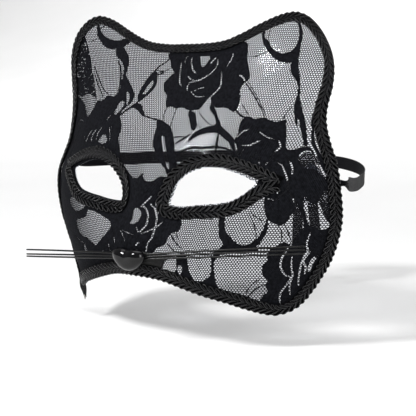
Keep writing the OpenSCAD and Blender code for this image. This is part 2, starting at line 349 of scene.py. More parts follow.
def mapped(nodes, links, scale=(1, 1, 1), turn=(0, 0, 0), on_cord=False):
    """Places in the object's own space or, on a cord, along it and round it."""
    if on_cord:
        source = add_node(nodes, "ShaderNodeUVMap", uv_map="length").outputs["UV"]
    else:
        source = nodes.new("ShaderNodeTexCoord").outputs["Object"]
    mapping = add_node(nodes, "ShaderNodeMapping", Scale=scale, Rotation=turn)
    links.new(source, mapping.inputs["Vector"])
    return mapping.outputs["Vector"]


def add_noise(nodes, links, where, scale, detail):
    noise = add_node(nodes, "ShaderNodeTexNoise", Scale=scale, Detail=detail)
    links.new(where, noise.inputs["Vector"])
    return noise.outputs["Fac"]


def add_wave(nodes, links, where, scale, distortion, detail=2, direction="X"):
    wave = add_node(nodes, "ShaderNodeTexWave", Scale=scale, Distortion=distortion, Detail=detail,
                    bands_direction=direction, wave_profile="SIN")
    links.new(where, wave.inputs["Vector"])
    return wave.outputs["Fac"]


def add_range(nodes, links, value, low, high):
    """A value from 0 to 1, stretched to run from low to high."""
    spread = nodes.new("ShaderNodeMapRange")
    spread.inputs["To Min"].default_value = low
    spread.inputs["To Max"].default_value = high
    links.new(value, spread.inputs["Value"])
    return spread.outputs["Result"]


def add_colour(nodes, links, bsdf, dark, light, where, scale, detail):
    """A base colour that wanders from dark to light with a noise, which it hands back."""
    noise = add_noise(nodes, links, where, scale, detail)
    ramp = nodes.new("ShaderNodeValToRGB")
    for element, position, colour in zip(ramp.color_ramp.elements, (0.3, 0.7), (dark, light)):
        element.position = position
        element.color = (*colour, 1)
    links.new(noise, ramp.inputs["Fac"])
    links.new(ramp.outputs["Color"], bsdf.inputs["Base Color"])
    return noise


def add_bump(nodes, links, bsdf, height, distance, strength, below=None):
    bump = add_node(nodes, "ShaderNodeBump", Strength=strength, Distance=distance)
    links.new(height, bump.inputs["Height"])
    if below is not None:
        links.new(below.outputs["Normal"], bump.inputs["Normal"])
    links.new(bump.outputs["Normal"], bsdf.inputs["Normal"])
    return bump


def mix_with_clear(nodes, links, tint, shader):
    """Lets light pass through in a tint. The mix's Fac is the shader's share."""
    clear = add_node(nodes, "ShaderNodeBsdfTransparent", Color=tint)
    mix = nodes.new("ShaderNodeMixShader")
    links.new(clear.outputs[0], mix.inputs[1])
    links.new(shader.outputs[0], mix.inputs[2])
    links.new(mix.outputs[0], nodes["Material Output"].inputs["Surface"])
    return mix


def make_lace_material(name, dark, light, weave, roughness):
    """Dull thread with two slanted sets of yarns in it."""
    material, nodes, links, bsdf = new_material(name, {
        "Roughness": roughness, "Specular IOR Level": 0.05, "Sheen Weight": 0.01,
        "Sheen Roughness": 0.4, "Sheen Tint": (0.55, 0.6, 0.75, 1)})
    add_colour(nodes, links, bsdf, dark, light, mapped(nodes, links), 700, 4)
    total = add_node(nodes, "ShaderNodeMath", operation="ADD")
    for k, slant, scale, detail in ((0, 32, weave, 1), (1, -48, weave * 1.15, 2)):
        where = mapped(nodes, links, (1, 0.3, 1), (0, math.radians(slant), 0))
        links.new(add_wave(nodes, links, where, scale, 0.8, detail), total.inputs[k])
    add_bump(nodes, links, bsdf, total.outputs[0], 0.00012, 0.9)
    return material


def make_cord_material(name, dark, light, roughness, wraps):
    """Lustrous cord with fine threads wound round it."""
    material, nodes, links, bsdf = new_material(name, {
        "Roughness": roughness, "Specular IOR Level": 0.34})
    add_colour(nodes, links, bsdf, dark, light, mapped(nodes, links), 120, 3)
    where = mapped(nodes, links, (1, 0.55, 1), on_cord=True)
    wrap = add_wave(nodes, links, where, wraps, 0.5, direction="DIAGONAL")
    add_bump(nodes, links, bsdf, wrap, 0.00018, 0.9)
    return material


def make_shell_material():
    """Clear plastic: see-through, more of a mirror where it turns away, rippled and smudged; what shows
    through it is dimmed partly by painted shade.
    """
    material, nodes, links, bsdf = new_material("clear_plastic")
    nodes.remove(bsdf)
    gloss = add_node(nodes, "ShaderNodeBsdfGlossy", Color=(0.5, 0.51, 0.54, 1))
    where = mapped(nodes, links)
    add_bump(nodes, links, gloss, add_noise(nodes, links, where, 45, 2), 0.0012, 0.6)
    smudge = add_noise(nodes, links, where, 90, 4)
    links.new(add_range(nodes, links, smudge, 0.03, 0.12), gloss.inputs["Roughness"])
    facing = add_node(nodes, "ShaderNodeLayerWeight", Blend=0.5)
    steep = add_node(nodes, "ShaderNodeMath", operation="POWER")
    steep.inputs[1].default_value = 4
    links.new(facing.outputs["Facing"], steep.inputs[0])
    # the see-through tint is darker than clear plastic alone: partly the plastic's own loss, partly
    # painted shade standing in for a shaded face behind the mask
    mix = mix_with_clear(nodes, links, (0.92, 0.93, 0.95, 1), gloss)
    links.new(add_range(nodes, links, steep.outputs[0], 0.028, 0.22), mix.inputs["Fac"])
    return material


def make_gloss_material(name, dark, light, roughness, coat, scale=60):
    """Smooth plastic with a slight grain, under a clear coat."""
    material, nodes, links, bsdf = new_material(name, {
        "Coat Weight": coat, "Coat Roughness": 0.04, "Specular IOR Level": 0.12})
    noise = add_colour(nodes, links, bsdf, dark, light, mapped(nodes, links), scale, 3)
    spots = add_range(nodes, links, noise, roughness * 0.8, roughness * 1.4)
    links.new(spots, bsdf.inputs["Roughness"])
    add_bump(nodes, links, bsdf, noise, 0.00004, 0.5)
    return material


def make_ribbon_material():
    """Woven ribbon: fine ribs across it and streaks along it."""
    material, nodes, links, bsdf = new_material("ribbon", {
        "Roughness": 0.55, "Specular IOR Level": 0.05})
    streaks = mapped(nodes, links, (40, 900, 1), on_cord=True)
    noise = add_colour(nodes, links, bsdf, (0.003, 0.003, 0.004), (0.009, 0.009, 0.011), streaks, 1, 3)
    ribs = add_wave(nodes, links, mapped(nodes, links, (1, 0.05, 1), on_cord=True), 420, 0.4)
    first = add_bump(nodes, links, bsdf, ribs, 0.00008, 0.7)
    add_bump(nodes, links, bsdf, noise, 0.00006, 0.5, first)
    return material


def make_felt_material():
    """Soft ribbed cloth of the patches."""
    material, nodes, links, bsdf = new_material("patch_felt", {
        "Roughness": 0.85, "Specular IOR Level": 0.1, "Sheen Weight": 0.04})
    add_colour(nodes, links, bsdf, (0.014, 0.017, 0.026), (0.055, 0.062, 0.084),
               mapped(nodes, links), 300, 5)
    slanted = mapped(nodes, links, turn=(0, math.radians(70), 0))
    add_bump(nodes, links, bsdf, add_wave(nodes, links, slanted, 140, 1.5), 0.0003, 1)
    return material


def make_film_material():
    """Smooth dark strip that lets a little light through."""
    material, nodes, links, bsdf = new_material("base_film", {
        "Roughness": 0.3, "Specular IOR Level": 0.15})
    noise = add_colour(nodes, links, bsdf, (0.004, 0.004, 0.004), (0.01, 0.01, 0.01),
                       mapped(nodes, links), 150, 3)
    add_bump(nodes, links, bsdf, noise, 0.00006, 0.6)
    mix = mix_with_clear(nodes, links, (0.25, 0.24, 0.22, 1), bsdf)
    mix.inputs["Fac"].default_value = 0.93
    return material


shell_material = make_shell_material()
net_material = make_lace_material("lace_net", (0.004, 0.004, 0.005), (0.012, 0.012, 0.014), 900, 0.8)
motif_material = make_lace_material("lace_motif", (0.002, 0.0022, 0.003), (0.0085, 0.009, 0.0115),
                                    430, 0.9)
braid_material = make_cord_material("braid", (0.0008, 0.0008, 0.0011), (0.003, 0.003, 0.0045),
                                    0.24, 700)
tape_material = make_lace_material("braid_base", (0.0005, 0.0005, 0.0006), (0.001, 0.001, 0.0013),
                                   600, 0.9)
nose_material = make_gloss_material("nose_plastic", (0.001, 0.001, 0.001), (0.003, 0.003, 0.004),
                                    0.07, 0.4)
whisker_material = make_gloss_material("bristle", (0.002, 0.002, 0.002), (0.008, 0.008, 0.008),
                                       0.3, 0.12, 200)
film_material = make_film_material()
felt_material = make_felt_material()
ribbon_material = make_ribbon_material()
thread_material = make_gloss_material("loose_thread", (0.6, 0.58, 0.52), (0.8, 0.78, 0.72), 0.6, 0, 400)

# ---------------------------------------------------------------- ribbons
RIBBON_W = 8
RIBBON_POINTS = 17
RIBBON_HALF_T = 0.17
# the firmer sides of the ribbon: extra half thickness, and share of the half width it takes up
SELVEDGE_T = 0.1
SELVEDGE_REACH = 0.07
PLEAT_DEPTH = 1.5
ROUTE_LEFT = [(90, 32.2, 12), (94.4, 36.8, 12), (98.4, 41.3, 12), (101, 45.2, 11.8),
              (101.2, 50.5, 11.3), (97.4, 59.5, 9.8), (91, 74.5, 7.6), (83.2, 93.5, 5.6),
              (76, 111.5, 4.8), (69.2, 128, 4.8), (61, 144.5, 5.4), (52.4, 157, 6.2),
              (42.5, 168, 7), (31.5, 176, 7.6), (19.5, 182, 8), (8, 184.8, 8), (-2, 185.6, 8)]
ROUTE_RIGHT = [(-90, 32.2, 12), (-94.4, 36.8, 12), (-98.4, 41.3, 12), (-101, 45.2, 12),
               (-101.6, 50.5, 12), (-98.5, 59.5, 12), (-93, 74.5, 11.8), (-86, 93.5, 11.5),
               (-79.5, 111.5, 11.2), (-73.5, 128, 10.9), (-65.5, 144.5, 10.5), (-56.5, 157, 10.1),
               (-46, 168, 9.6), (-34, 176, 9.1), (-22, 182, 8.6), (-10, 185.4, 8.2)]
KNOT = np.array([-6, 187, 8.0])
KNOT_SIZE = (11, 7, 11)
LOOP_SHAPE = [(0, -0.8), (8, -1.5), (18, -2), (29, -2), (37, -1.6), (40, 1.2), (37, 4.6), (29, 6.5),
              (18, 6.2), (8, 3.6), (0, 0.8)]
LOOP_DROOP = {1: math.radians(66), -1: math.radians(52)}
TAIL_LEN = 64
TAIL_SPREAD = 6
TAIL_SWAY = -1.5
TAIL_SHAPE = [(0, 0, 0), (0.3, 0.8, 0.2), (0.65, 1.2, 0.45), (0.9, 0.4, 0.7), (1, 0.8, 1)]


def ribbon_piece(node, route, wide, pinches, steps, end_slant=0):
    """A woven ribbon along a route in mm, as wide as it can be in that direction. pinches are
    (distance, reach, share): the width drops by that share there, and the ribbon pleats."""
    path = open_curve(route, steps)
    gone = distances(path)
    along = unit(np.gradient(path, axis=0))
    over = unit(np.cross(along, wide))
    across = np.cross(over, along)
    squeeze = np.zeros(len(path))
    for at, reach, share in pinches:
        squeeze = np.maximum(squeeze, share * np.exp(-((gone - at) / reach) ** 2))
    squeeze = squeeze[:, None]
    u = np.linspace(-1, 1, RIBBON_POINTS)
    half = RIBBON_W / 2 * (1 - squeeze)
    pleat = PLEAT_DEPTH * squeeze * np.sin(u * 2.6 * np.pi + 0.5)
    wave = 0.16 * np.sin(gone / 9 + 1.3)[:, None] * u + 0.12 * np.sin(gone / 5.3)[:, None]
    thick = RIBBON_HALF_T + SELVEDGE_T * np.exp(-((1 - np.abs(u)) / SELVEDGE_REACH) ** 2)
    slant = np.zeros((len(path), RIBBON_POINTS))
    slant[-1] = end_slant * u
    middle = (path[:, None] + across[:, None] * (u * half)[..., None]
              + over[:, None] * (pleat + wave * (1 - squeeze))[..., None]
              + along[:, None] * slant[..., None])
    out = over[:, None] * thick[:, None]
    ring = np.concatenate([middle + out, (middle - out)[:, ::-1]], 1)
    n, m = ring.shape[:2]
    ends = []
    for base in (0, (n - 1) * m):
        for q in range(RIBBON_POINTS - 1):
            quad = [base + q, base + q + 1, base + m - 2 - q, base + m - 1 - q]
            ends.append(quad if base else quad[::-1])
    side = np.concatenate([u, u[::-1], u[:1]]) * RIBBON_W / 2 * MM
    uv = np.vstack([grid_uv(gone * MM, side), np.zeros((4 * len(ends), 2))])
    piece = add_mesh("ribbon_" + node, ring.reshape(-1, 3) * MM, grid_faces(n, m) + ends, uv,
                     [ribbon_material])
    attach(piece, "root")
    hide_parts(node)
    return piece, path * MM, float(gone[-1]) * MM


def make_knot():
    """The knot: ribbon wrapped tightly round itself, ridged where the layers lie."""
    n, m = 44, 48
    t = np.linspace(0, np.pi, n)[:, None]
    a = np.linspace(0, 2 * np.pi, m, endpoint=False)
    x = -np.cos(t) * np.ones(m)
    ring = np.sin(t) ** 0.55
    ridge = 1 + 0.055 * np.cos(9 * x + 1.2 * np.sin(a)) + 0.03 * np.cos(17 * x + 2 * np.cos(a + 0.7))
    y, z = (ring * np.sign(w) * np.abs(w) ** 0.8 * ridge for w in (np.cos(a), np.sin(a)))
    size = np.array(KNOT_SIZE) / 2 * np.array([1, 0.97, 0.97])
    verts = KNOT + np.stack([x, y, z], -1) * size
    uv = grid_uv(x[:, 0] * KNOT_SIZE[0] / 2 * MM, np.append(a, 2 * np.pi) * KNOT_SIZE[0] / 2 * MM)
    # the faces are turned over, and the ribbon runs round the knot
    uv = uv.reshape(-1, 4, 2)[:, [0, 3, 2, 1], ::-1].reshape(-1, 2)
    piece = add_mesh("bow_knot_wrap", verts.reshape(-1, 3) * MM, grid_faces(n, m, flipped=True), uv,
                     [ribbon_material])
    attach(piece, "root")
    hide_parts("bow_knot")
    return piece


knot_piece = make_knot()
for side_name, route in (("left", ROUTE_LEFT), ("right", ROUTE_RIGHT)):
    # the ribbon is gathered where it leaves the patch and again at the knot
    total = float(distances(np.array(route))[-1])
    tie, line, length = ribbon_piece("tie_" + side_name, route, UP,
                                     [(19, 7, 0.62), (total, 9, 0.45)], 5)
for side_name, sign in (("left", 1), ("right", -1)):
    droop = LOOP_DROOP[sign]
    out = np.array([sign * math.cos(droop), 0, -math.sin(droop)])
    across = np.array([sign * math.sin(droop), 0, math.cos(droop)])
    start = KNOT + out * KNOT_SIZE[0] / 2
    route = [start + out * a + np.array([0, b + 2.5, 0]) for a, b in LOOP_SHAPE]
    loop, line, length = ribbon_piece("bow_loop_" + side_name, route, across,
                                      [(0, 8, 0.6), (85, 8, 0.6)], 5)
    start = KNOT + np.array([sign * 2.2, -1.2 - sign * 0.5, -KNOT_SIZE[2] / 2 + 1.5])
    route = [start + np.array([sign * TAIL_SPREAD * a, TAIL_SWAY * b, -TAIL_LEN * c])
             for a, b, c in TAIL_SHAPE]
    tail, line, length = ribbon_piece("bow_tail_" + side_name, route, (1, 0, 0), [(0, 8, 0.5)], 8,
                                      2.5 * sign)

# ---------------------------------------------------------------- clear shell
verts, faces = cut_sheet(in_mask, [cut_loop] + eye_loops, step=2.4, low=-SHELL_T, high=0)
shell = add_mesh("shell", verts, faces, None, [shell_material])
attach(shell, "root")
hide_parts("clear_shell")

# ---------------------------------------------------------------- lace pattern
# the dark band of the right ear, dense net with specks of light in it
EAR_BAND = [(-87, 97), (-84, 93), (-82.4, 90), (-80.6, 86), (-79, 82), (-77, 79), (-75, 75), (-73, 71),
            (-70, 67.5), (-67.5, 63.5), (-65, 60), (-62.5, 57), (-60.3, 53.5), (-61.5, 54.6), (-66, 56),
            (-72, 56.6), (-78, 55.2), (-84, 55.6), (-91, 56), (-95, 66), (-97, 77), (-95, 88), (-90, 96)]
# closed shapes of dense cloth
SOLID = [
    EAR_BAND,
    # forehead rose
    [(-11, 82), (-9, 77), (-7, 74), (-4.5, 72), (-3, 70), (-5.5, 68), (-7, 64.5), (-5.5, 60.5),
     (-2, 58), (-0.8, 54.5), (0.8, 51.3), (4, 51.7), (8, 51), (12, 51.6), (16, 50), (20, 50),
     (24, 51), (26, 54.5), (27.2, 57.3), (28.8, 56.5), (31, 53.6), (34.5, 51.7), (38, 52.3),
     (42, 51), (45.8, 50), (47.2, 54), (46.4, 57.5), (45.3, 61), (46, 65.5), (48.3, 67),
     (48.2, 70), (46.8, 73), (45, 76), (43.5, 79), (42.6, 83), (40, 88), (26, 86), (10, 85)],
    # leaf above the nose bridge
    [(-2, 43.7), (0.5, 44.3), (5, 42.5), (9, 40.5), (12.2, 36.5), (15, 31), (17, 26), (19.5, 21),
     (19, 17.5), (14, 15), (12, 17.5), (9, 21), (5.5, 23.5), (3.6, 27), (1.2, 30), (-0.3, 34.5),
     (-0.6, 39)],
    # dark leaf above the brow
    [(17, 49.5), (21.5, 49), (24, 45), (25.7, 41), (24.2, 39.2), (21.8, 41), (19.4, 45)],
    # brow arc and its stem
    [(30, 55.5), (33.5, 51.5), (36, 48), (38.8, 44.5), (41, 41.8), (44, 39.8), (47.5, 37.4), (50.6, 34),
     (52.5, 30), (50.2, 29.5), (48, 32.5), (45, 35), (41, 37.2), (37.5, 38.3), (33, 38), (29, 36.8),
     (25.5, 34.5), (22.5, 32.6), (24.5, 36.5), (27, 39.2), (30.5, 41), (35, 42), (37, 43.5), (34, 47.5),
     (30.5, 51)],
    # rose beyond the left eye
    [(50.6, 28), (49.6, 33), (50.6, 37.5), (50.6, 41.5), (50.8, 45), (52.3, 47.2), (55, 47.8),
     (57.3, 46.5), (60.2, 46.6), (63, 47), (66, 45.8), (70, 45.2), (73.8, 46.2), (74.3, 43),
     (75.2, 38), (75.6, 33), (77, 30.3), (80.5, 30.4), (83.3, 31.8), (86.3, 31.4), (88, 28.5),
     (86, 29.5), (83.4, 28.9), (81.9, 26.5), (83.5, 23.2), (86, 20.5), (90, 19.5), (93.5, 16.5),
     (97, 12), (98, 8.5), (95.8, 8), (94.2, 3), (92, 1.5), (90, 3.8), (88.8, 5.5), (88, 2.5),
     (89.3, -3), (90, -7.5), (91.3, -11.5), (88.5, -12), (88.4, -7), (87, -2), (85.3, 2.5), (84.8, -1.5),
     (83, -5), (80.5, -9.3), (77, -9.3), (73.6, -7), (71.9, -3), (71, 2), (70.8, 6), (66, 6), (66, 17),
     (58, 22), (52, 24.5)],
    # petals of the left cheek
    [(91.5, -10.8), (95, -12.6), (99.5, -12), (98.5, -20), (95, -29.5), (89, -39), (83, -49),
     (76.5, -56.5),
     (69, -60), (62, -56.5), (65.3, -53), (67.2, -50), (69.6, -47.6), (69.4, -44), (70.6, -41),
     (69.2, -38.5), (69, -34.5), (70.6, -31), (72.2, -29.6), (72.4, -26), (74.5, -23), (77.5, -20.6),
     (80, -19.2), (83, -20.2), (84.8, -17), (86.3, -13.8), (88.6, -11.5)],
    # ring under the left eye with its stalk
    [(49.8, -4), (49.6, -12), (50.2, -17), (52.4, -21.2), (48.6, -24), (46.5, -27.5), (45.5, -32),
     (45, -37), (43, -40.2), (40, -42.2), (36, -42.8), (36, -47), (47.4, -49), (47, -42), (46.8, -36),
     (47.3, -31), (49, -27.5), (54, -25.3), (60, -24.9), (66, -24.3), (69, -23.3), (68.2, -21.4),
     (70.7, -18.5), (72.5, -15), (73.5, -10.5), (73.4, -6.5), (72.1, -9.5), (70.8, -13.5),
     (68.4, -17.2), (65.4, -19.8), (62, -20.9), (58.4, -19.4), (55, -15.5), (53, -11.5), (52.2, -4)],
    # small stalk beside it
    [(26.7, -28.8), (29.5, -27), (32, -28.8), (33, -34), (33.6, -38), (35.4, -41.8), (31, -47),
     (24, -45), (20, -41), (24.4, -38.3), (26, -36), (26, -32)],
    # leaf beside the nose
    [(12, -6), (20, -7.5), (26.3, -8.5), (27.6, -12.5), (26, -15.2), (22.6, -16.5), (20.8, -19),
     (20, -22), (17, -24), (14, -25.6), (12.6, -28), (8, -29), (6, -20)],
    # ring in the left ear
    [(49.4, 96), (50, 90), (53, 85.5), (57.5, 81), (62, 78.3), (66, 77), (70, 76.6), (73.6, 77.5),
     (75.2, 81), (75.2, 86), (75.9, 91), (75.2, 95.5), (72.3, 100), (67, 104), (66, 101.5), (70.2, 99.8),
     (73, 96), (73.7, 92), (73.2, 88), (71.5, 84.5), (68, 82.2), (64, 82), (60, 83.3), (57, 85.5),
     (54.4, 88.7), (51.6, 91), (51, 96)],
    # leaf and stem below that ring
    [(71.5, 78), (71, 74.5), (72, 71), (74.8, 68), (76.9, 64.5), (77.4, 60), (77, 57), (76.6, 54),
     (77, 50.5), (78, 46), (80, 41), (82, 36), (83.4, 32.4), (85.2, 32.4), (84.2, 37), (83.7, 42),
     (82.6, 47), (80.7, 53), (79.2, 57), (78.7, 62), (77.6, 68), (75.8, 73.5), (74.8, 78)],
    # dark side of the left ear, along the braid
    [(73, 102.5), (78, 100.5), (82, 96.5), (85, 91.5), (88, 86), (89.6, 80), (92, 78), (91, 86),
     (86, 95), (80, 101)],
    # band along the left temple
    [(85.5, 47), (86, 40), (86.4, 34.5), (88.6, 29), (91.5, 23), (94.5, 17.5), (98, 16), (94, 28),
     (92, 36), (90, 46), (92, 58), (89, 57), (87, 52)],
    # ring in the right ear
    [(-74.5, 103), (-74, 98), (-73.5, 94.5), (-72, 91), (-68.5, 88), (-64.5, 85.2), (-60, 84.3),
     (-55, 84.3), (-50, 85.2), (-46, 87.5), (-42, 90), (-46, 93.5), (-48.5, 91), (-52, 89.9),
     (-57, 89.3), (-62, 90.2), (-66, 91.8), (-69.5, 94), (-71, 96.5), (-72, 99), (-72, 103)],
    # leaf below that ring
    [(-55, 84.8), (-50, 85.2), (-46, 82.8), (-43.4, 80), (-41.4, 77), (-40.8, 73), (-40.3, 69.5),
     (-38.5, 66.5), (-40.5, 64), (-42.4, 68.5), (-43.5, 72), (-46, 75.5), (-49, 77.5), (-52.5, 79),
     (-54.3, 81.5)],
    # small ring leaf on the brow
    [(-24, 57.5), (-22.8, 63), (-20.8, 68), (-19, 71), (-16, 70.7), (-14.3, 68), (-13, 64.5),
     (-13.5, 61), (-16, 58), (-19, 55.5), (-21, 53.8), (-23, 55)],
    # leaf under it
    [(-26, 51), (-23.5, 52.3), (-20.5, 52.8), (-17, 51), (-14.2, 47.8), (-12, 45.2), (-16, 46.5),
     (-20, 49), (-24, 50)],
    # right side of the face, as one dark ground
    [(-42.2, 66), (-39.5, 67), (-36.5, 66), (-33, 63), (-30, 61), (-27.8, 58.5), (-26.5, 56),
     (-27.5, 53), (-29.5, 50.8), (-33, 48), (-32.5, 45), (-29, 41), (-27.6, 37), (-28.2, 33.5),
     (-25.2, 29), (-23, 24), (-19, 19), (-14, 14.5), (-9, 12), (-4, 12.4), (-1, 15), (0.2, 12.5),
     (3, 10.6), (6, 11), (9, 13), (11, 14), (15, 12), (10, 4), (10, -6), (16, -8), (13, -14), (12, -22),
     (12.6, -27.5), (10, -29.5), (8, -36), (13, -45), (0, -44), (-14, -45), (-30, -50), (-48, -56),
     (-62, -63), (-74, -62), (-86, -50), (-99, -30), (-106, -8), (-104, 8), (-99, 20), (-92, 36),
     (-90, 47), (-91, 55), (-84, 54.5), (-78, 52.5), (-73.5, 50.3), (-70.5, 47.5), (-68.5, 45),
     (-65.5, 43.4), (-62.3, 45.8), (-60.6, 49.5), (-58.5, 53.2), (-54, 53.4), (-50.5, 56), (-47.5, 56.6),
     (-44, 56), (-41.6, 58.5), (-41.2, 62)],
    # braid side of the bottom edge
    [(36, -42.5), (46, -46), (58, -49), (66, -54), (66, -60), (46, -56), (24, -48), (20, -42)],
]
# net windows inside the dense cloth
WINDOW = [
    # forehead rose
    [(11.6, 79.6), (15, 80.2), (18.5, 79.6), (18.4, 77.4), (16.2, 74), (13.8, 75.6)],
    # slit of the bridge leaf
    [(5.2, 34.8), (6.5, 35.5), (9, 31), (11.5, 26.5), (14, 21.5), (15, 18.4), (13.6, 18.6), (12.2, 20.8),
     (10, 25.3), (7.5, 30)],
    # stalk window
    [(27.2, -34), (29.2, -34.6), (29, -37.5), (28, -39.4), (26.6, -37)],
    # small ring leaf
    [(-20.6, 58.3), (-19.3, 62), (-18, 65), (-16.2, 65.6), (-15.4, 63.2), (-16.6, 60), (-18.6, 58)],
    # right ear windows along the edge
    [(-91.5, 89), (-90.4, 86), (-91, 81.8), (-94.5, 80.5), (-94, 86)],
    [(-96, 74.5), (-91, 72.3), (-88.4, 70), (-88, 66), (-89, 62.4), (-93.5, 61.5), (-95.5, 66),
     (-96, 70)],
    # crescents on the right brow
    [(-38.8, 47), (-37.6, 51.5), (-35.2, 54), (-32.8, 52.6), (-33.4, 49), (-36.6, 45.8)],
    [(-34.3, 58.8), (-31.8, 58.3), (-30, 55.5), (-29.5, 52), (-31, 52), (-31.6, 54.2), (-33.2, 56.5)],
    [(-46, 30), (-44.3, 33), (-41.2, 34.2), (-38.3, 32.4), (-37.6, 30), (-41.4, 28.8)],
    # large window of the right brow, on both sides of its vein
    [(-26, 50), (-20.5, 48.4), (-14.5, 45.9), (-7.5, 43.8), (-3.6, 41), (-1.4, 37), (-0.9, 30),
     (-0.9, 25), (-1.2, 20), (-2, 16.3), (-5, 12.8), (-9, 12.4), (-13, 14.4), (-17.5, 18), (-21.4, 22),
     (-24, 26.6), (-25.6, 30), (-28, 33.6), (-27.2, 37), (-28.8, 40.8), (-32, 45)],
    [(0, 27.8), (3, 26.4), (5.4, 22.8), (9, 20), (13, 17.6), (11.2, 14.8), (8, 13), (5, 10.8), (2, 11.2),
     (0.2, 14), (0, 20)],
    # right cheek
    [(-56, -17.4), (-50, -15.3), (-45.4, -13.6), (-43.4, -9.6), (-40, -9.4), (-34, -10.4), (-28, -12.3),
     (-23.4, -13.8), (-21.4, -16.5), (-23, -19.5), (-27, -23), (-31, -26.5), (-34.3, -29), (-36, -28.5),
     (-39, -27.5), (-43, -26), (-50, -25), (-53.8, -22.6)],
    [(-67, -5), (-60, -3.6), (-55, -4.6), (-49, -6.8), (-47, -7.4), (-49, -9.2), (-54, -11.2),
     (-59, -11.6), (-62, -10), (-66, -8)],
    [(-48.4, -30.8), (-46, -31), (-45, -34), (-47.6, -34.8)],
    # far right side, beside the patch
    [(-97.5, 9), (-96, 1), (-97, -7), (-94.5, -10.8), (-90.6, -10.6), (-89.6, -5), (-88, 2), (-89.6, 4.6),
     (-92, 2.2), (-94.4, 4)],
    [(-81.4, 27.5), (-84, 30.6), (-87.2, 30), (-91, 23.5), (-94.5, 17.5), (-92, 16.5), (-89.5, 20.5),
     (-85.5, 22.6)],
    # crescent by the nose
    [(-2.6, -5.5), (0, -4), (2.6, -6), (3, -9), (1, -12), (-3.6, -13), (-2.4, -10)],
]
